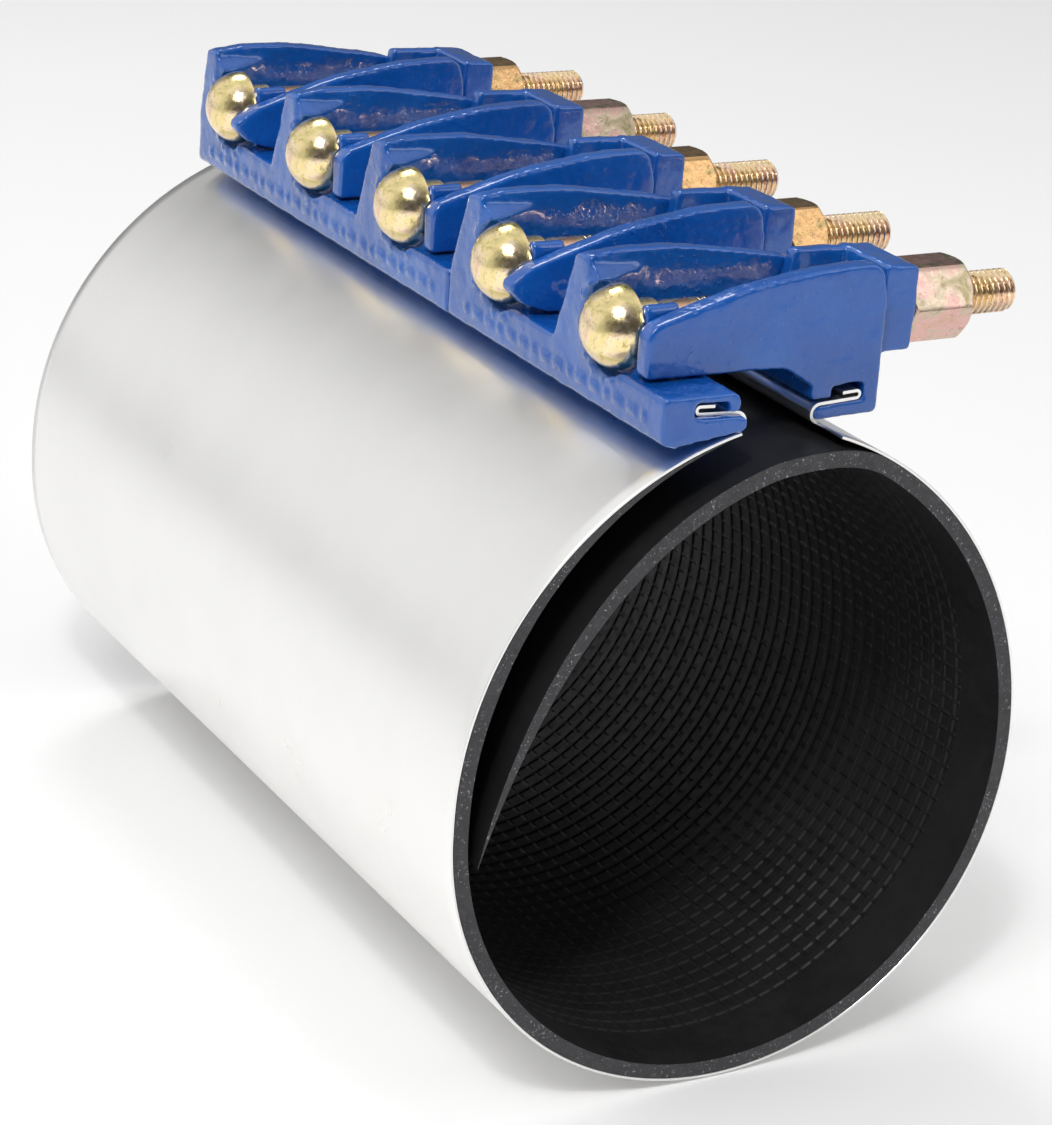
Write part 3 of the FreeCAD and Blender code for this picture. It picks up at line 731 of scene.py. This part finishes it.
def paint_runs(work, node):
    """Beads of thick coating round the seats of the bolt heads, on the lower and far sides."""
    low, high = (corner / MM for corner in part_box(node))
    chance = random.Random(node)
    for number in BOLTS:
        bolt_low, bolt_high = (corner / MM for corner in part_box(f"bolt_{number}"))
        centre = (bolt_low + bolt_high) / 2
        if not low.y < centre.y < high.y:
            continue
        for _ in range(BEADS):
            angle = chance.uniform(*BEAD_ANGLES)
            reach = chance.uniform(*BEAD_REACH)
            size = chance.uniform(*BEAD_SIZE)
            x = low.x + chance.uniform(*BEAD_DEPTH)
            y, z = polar(reach, angle, (centre.y, centre.z))
            matrix = Matrix.Translation(Vector((x, y, z)) * MM)
            bmesh.ops.create_icosphere(work, subdivisions=2, radius=size * MM, matrix=matrix)


def make_casting(node, body, marked):
    """The CAD casting with softened edges and an uneven skin, as cast iron under thick coating."""
    work = bmesh.new()
    work.from_mesh(frame["nodes"][node].data)
    bmesh.ops.remove_doubles(work, verts=work.verts, dist=1e-6)
    if marked:
        low, high = (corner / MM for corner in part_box(node))
        raised_marks(work, low.x - 0.05, low.y, high.y)
        paint_runs(work, node)
    mesh = bpy.data.meshes.new(node + "_form")
    work.to_mesh(mesh)
    work.free()
    piece = bpy.data.objects.new(node + "_form", mesh)
    bpy.context.scene.collection.objects.link(piece)
    remesh = piece.modifiers.new("remesh", "REMESH")
    remesh.mode = "VOXEL"
    remesh.voxel_size = VOXEL
    smooth = piece.modifiers.new("smooth", "SMOOTH")
    smooth.factor = 0.5
    smooth.iterations = PASSES
    cloud = bpy.data.textures.new(node + "_cloud", "CLOUDS")
    cloud.noise_scale = SAND_SIZE
    cloud.noise_depth = 2
    displace = piece.modifiers.new("displace", "DISPLACE")
    displace.texture = cloud
    displace.texture_coords = "LOCAL"
    displace.strength = SAND_DEPTH
    displace.mid_level = 0.55
    thin = piece.modifiers.new("thin", "DECIMATE")
    thin.ratio = KEPT_FACES
    graph = bpy.context.evaluated_depsgraph_get()
    final = bpy.data.meshes.new_from_object(piece.evaluated_get(graph))
    bpy.data.objects.remove(piece)
    final.shade_smooth()
    final.materials.clear()
    final.materials.append(PAINT)
    shown = bpy.data.objects.new(node + "_casting", final)
    bpy.context.scene.collection.objects.link(shown)
    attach(shown, body)
    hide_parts(node)


# --- bolts and nuts ---------------------------------------------------------------------------------------

PITCH = 25.4 / 13
SHANK = 6.35
SHANK_SHOWN = SHANK - 0.02
NECK = 7.3
NECK_LENGTH = 8.5
DOME_BASE = 0.3
THREAD_FROM = 22.0
THREAD_DEPTH = 1.05
TIP_BEVEL = 1.5
BOLT_SEGMENTS = 48
STEPS_PER_TURN = 12

NUT_FLAT = 22.2 / 2
NUT_CORNER = NUT_FLAT / math.cos(math.pi / 6)
NUT_BORE = 6.4
NUT_CHAMFER = 1.9
BORE_CHAMFER = 0.75
NUT_SEGMENTS = 96


def lathe(name, stations, radii, segments, material, sharp):
    """Rings of points about X, closed by a point at each end. radii is (stations, segments)."""
    angles = np.linspace(0, 2 * math.pi, segments, endpoint=False)
    rings = np.stack(
        [
            np.repeat(stations[:, None], segments, 1),
            radii * np.cos(angles),
            radii * np.sin(angles),
        ],
        -1,
    )
    count = len(stations)
    vertices = np.concatenate([rings.reshape(-1, 3), [[stations[0], 0, 0], [stations[-1], 0, 0]]]) * MM
    row = np.arange(count - 1)[:, None] * segments
    column = np.arange(segments)[None, :]
    after = (column + 1) % segments
    quads = np.stack([row + column, row + segments + column, row + segments + after, row + after], -1)
    faces = [tuple(q) for q in quads.reshape(-1, 4)]
    low, high = count * segments, count * segments + 1
    last = (count - 1) * segments
    for i in range(segments):
        j = (i + 1) % segments
        faces.append((low, i, j))
        faces.append((high, last + j, last + i))
    return new_object(name, vertices, faces, material, sharp=sharp)


def make_bolt(number):
    """Domed head, round neck, plain shank and a cut right-handed thread that runs in over 1.5 turns."""
    node = f"bolt_{number}"
    low, high = (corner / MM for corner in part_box(node))
    head = (high.y - low.y) / 2
    seat = low.x + head + DOME_BASE
    length = high.x - seat
    turn = np.linspace(0.04, math.pi / 2, 22)
    plain = [(-DOME_BASE - head * math.cos(a), head * math.sin(a)) for a in turn]
    plain += [
        (-0.12, head - 0.03),
        (0.0, head - 0.3),
        (0.0, NECK + 0.2),
        (0.3, NECK),
        (NECK_LENGTH, NECK),
        (NECK_LENGTH + 0.7, SHANK + 0.25),
        (NECK_LENGTH + 1.2, SHANK_SHOWN),
    ]
    plain += [(x, SHANK_SHOWN) for x in np.linspace(11.0, THREAD_FROM - 0.4, 6)]
    plain = np.array(plain)
    screw = np.arange(THREAD_FROM, length, PITCH / STEPS_PER_TURN)
    screw = np.append(screw[screw < length - 0.05], length)
    angles = np.linspace(0, 2 * math.pi, BOLT_SEGMENTS, endpoint=False)
    phase = (screw[:, None] / PITCH - angles[None, :] / (2 * math.pi)) % 1.0
    ridge = np.clip((np.abs(phase - 0.5) * 2 - 0.14) / 0.72, 0, 1)
    depth = THREAD_DEPTH * np.clip((screw - THREAD_FROM) / (1.5 * PITCH), 0, 1)[:, None]
    bevel = np.clip(SHANK - TIP_BEVEL + (length - screw), 0, SHANK)[:, None]
    threaded = np.minimum(SHANK_SHOWN - depth * ridge, bevel)
    stations = np.concatenate([plain[:, 0], screw])
    radii = np.concatenate([np.repeat(plain[:, 1:], BOLT_SEGMENTS, 1), threaded])
    piece = lathe(f"bolt_{number}_threaded", stations, radii, BOLT_SEGMENTS, BOLT_ZINC, 32)
    centre = (low + high) / 2
    piece.location = Vector((seat, centre.y, centre.z)) * MM
    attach(piece, ROOT)
    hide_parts(node)


def make_nut(number):
    """A hex nut at the turn that its CAD node has, chamfered at both ends, with a plain bore."""
    node = f"nut_{number}"
    mesh = frame["nodes"][node].data
    points = np.array([v.co for v in mesh.vertices]) / MM
    low, high = points.min(0), points.max(0)
    centre = (low + high) / 2
    length = high[0] - low[0]
    spokes = points[:, 1:] - centre[1:]
    reach = np.hypot(spokes[:, 0], spokes[:, 1])
    corner = spokes[np.argmax(reach)]
    turned = math.atan2(corner[1], corner[0])
    angles = np.linspace(0, 2 * math.pi, NUT_SEGMENTS, endpoint=False)
    # swing is 0 at a corner, and a flat's middle lies 30 degrees away
    swing = (angles - turned + math.pi / 6) % (math.pi / 3) - math.pi / 6
    hexagon = np.minimum(NUT_FLAT / np.cos(math.pi / 6 - np.abs(swing)), NUT_CORNER - 0.25)
    near = [
        (BORE_CHAMFER, np.full(NUT_SEGMENTS, NUT_BORE)),
        (0.0, np.full(NUT_SEGMENTS, NUT_BORE + BORE_CHAMFER)),
    ]
    washer = NUT_FLAT - 0.5
    for step in (*np.linspace(0, NUT_CHAMFER, 10), NUT_CHAMFER + 0.3):
        cone = washer + 0.25 + step / NUT_CHAMFER * (NUT_CORNER - washer)
        near.append((step, np.minimum(hexagon, cone)))
    rings = near + [(length - x, r) for x, r in reversed(near)]
    stations = np.array([x for x, _ in rings])
    radii = np.array([r for _, r in rings])
    across = np.repeat(stations[:, None], NUT_SEGMENTS, 1)
    ring = np.stack([across, radii * np.cos(angles), radii * np.sin(angles)], -1)
    count = len(stations)
    row = np.arange(count)[:, None] * NUT_SEGMENTS
    column = np.arange(NUT_SEGMENTS)[None, :]
    after = (column + 1) % NUT_SEGMENTS
    below = (row + NUT_SEGMENTS) % (count * NUT_SEGMENTS)
    quads = np.stack([row + column, below + column, below + after, row + after], -1)
    zinc = LONG_ZINC if number in LONG_NUTS else SHORT_ZINC
    faces = [tuple(q) for q in quads.reshape(-1, 4)]
    piece = new_object(f"nut_{number}_hex", ring.reshape(-1, 3) * MM, faces, zinc, sharp=28)
    piece.location = Vector((low[0], centre[1], centre[2])) * MM
    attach(piece, f"nut_{number}_body")
    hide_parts(node)


# --- stage ------------------------------------------------------------------------------------------------


FLOOR_HALF = 3.2
FLOOR_DROP = 0.0005
WORLD_LIGHT = 0.90

# grey levels of the light over the cosine of the angle from each direction
SKY = ((0, 0, 1), ((-1.0, 0.55), (-0.1, 0.75), (0.12, 1.0), (0.5, 1.0)))
IN_FRONT = ((-0.25, -0.95, 0.15), ((0.25, 1.0), (0.55, 0.35), (0.80, 0.10), (1.0, 0.08)))
BEHIND = ((0.52, 0.80, 0.30), ((0.60, 1.0), (0.78, 0.50), (0.92, 0.16), (1.0, 0.14)))

# name, place, target, side and power of each square lamp
LAMPS = (
    ("key", (-1.0, -1.0, 1.7), (0, 0, 0.05), 0.7, 16.0),
    ("front_box", (0.95, -1.35, 1.0), (0, 0, 0.1), 0.75, 3.2),
    ("glint", (-0.8, -1.0, 1.5), (0, 0, 0.1), 0.14, 6.0),
    ("rim", (0.2, 1.2, 1.7), (0, 0, 0.08), 0.6, 8.0),
)

CAMERA_LENS = 105.63
CAMERA_PLACE = (-0.479983, -0.860378, 0.387796)
CAMERA_FORWARD = (0.46601653, 0.80900352, -0.35824838)
CAMERA_UP = (0.11676408, 0.3451281, 0.93126406)


def studio_world():
    """White to the camera. As light it is brightest overhead, and darker in front and behind."""
    world = bpy.data.worlds.new("studio")
    bpy.context.scene.world = world
    world.use_nodes = True
    tree = world.node_tree
    tree.nodes.clear()
    link = tree.links.new
    out = tree.nodes.new("ShaderNodeOutputWorld")
    seen = tree.nodes.new("ShaderNodeBackground")
    seen.inputs["Color"].default_value = (1.0, 1.0, 1.0, 1.0)
    lit = tree.nodes.new("ShaderNodeBackground")
    place = tree.nodes.new("ShaderNodeTexCoord")

    def level_along(direction, stops):
        """Grey levels over the cosine of the angle from a direction, from -1 to 1."""
        dot = tree.nodes.new("ShaderNodeVectorMath")
        dot.operation = "DOT_PRODUCT"
        dot.inputs[1].default_value = Vector(direction).normalized()
        link(place.outputs["Generated"], dot.inputs[0])
        ramp = tree.nodes.new("ShaderNodeValToRGB")
        spread = tree.nodes.new("ShaderNodeMapRange")
        spread.inputs["From Min"].default_value = -1.0
        link(dot.outputs["Value"], spread.inputs["Value"])
        while len(ramp.color_ramp.elements) < len(stops):
            ramp.color_ramp.elements.new(0.5)
        for element, (where, level) in zip(ramp.color_ramp.elements, stops):
            element.position = (where + 1) / 2
            element.color = (level, level, level, 1.0)
        link(spread.outputs["Result"], ramp.inputs["Fac"])
        return ramp.outputs["Color"]

    light = level_along(*SKY)
    for zone in (IN_FRONT, BEHIND):
        shade = level_along(*zone)
        both = tree.nodes.new("ShaderNodeMix")
        both.data_type = "RGBA"
        both.blend_type = "MULTIPLY"
        both.inputs[0].default_value = 1.0
        link(light, both.inputs[6])
        link(shade, both.inputs[7])
        light = both.outputs[2]
    link(light, lit.inputs["Color"])
    lit.inputs["Strength"].default_value = WORLD_LIGHT
    path = tree.nodes.new("ShaderNodeLightPath")
    mix = tree.nodes.new("ShaderNodeMixShader")
    link(path.outputs["Is Camera Ray"], mix.inputs["Fac"])
    link(lit.outputs["Background"], mix.inputs[1])
    link(seen.outputs["Background"], mix.inputs[2])
    link(mix.outputs["Shader"], out.inputs["Surface"])


def make_stage():
    """A pale floor just under the clamp, in a white studio."""
    floor_z = cad_low.z - FLOOR_DROP
    sides = ((-1, -1), (1, -1), (1, 1), (-1, 1))
    corners = [(x * FLOOR_HALF, y * FLOOR_HALF, floor_z) for x, y in sides]
    floor = new_object("studio_floor", corners, [(0, 1, 2, 3)], floor_material(), smooth=False)
    studio_world()


def add_lamp(name, place, target, size, power):
    """A square area lamp at a place, turned to a target."""
    data = bpy.data.lights.new(name, "AREA")
    data.shape = "RECTANGLE"
    data.size = data.size_y = size
    data.energy = power
    light = bpy.data.objects.new(name, data)
    light.location = place
    light.rotation_euler = (Vector(target) - Vector(place)).to_track_quat("-Z", "Y").to_euler()
    bpy.context.scene.collection.objects.link(light)


def make_camera():
    """At the height and the bearing from which the clamp shows its near end, its heads and its tops."""
    data = bpy.data.cameras.new("camera")
    data.sensor_width = 36.0
    data.lens = CAMERA_LENS
    data.clip_start, data.clip_end = 0.05, 50.0
    camera = bpy.data.objects.new("camera", data)
    forward = Vector(CAMERA_FORWARD)
    right = forward.cross(Vector(CAMERA_UP)).normalized()
    up = right.cross(forward).normalized()
    rotation = Matrix((right, up, -forward)).transposed()
    camera.matrix_world = Matrix.Translation(CAMERA_PLACE) @ rotation.to_4x4()
    bpy.context.scene.collection.objects.link(camera)
    bpy.context.scene.camera = camera


# --- assembly ---------------------------------------------------------------------------------------------

make_band()
make_gasket()
make_bridge_plate()
make_casting("head_casting_near", ROOT, True)
make_casting("head_casting_far", ROOT, True)
make_casting("nut_casting_near", MOVING, False)
make_casting("nut_casting_far", MOVING, False)
for number in BOLTS:
    make_bolt(number)
    make_nut(number)

make_stage()
for lamp in LAMPS:
    add_lamp(*lamp)
make_camera()
bpy.context.scene.view_settings.view_transform = "Standard"
bpy.context.scene.view_settings.look = "None"
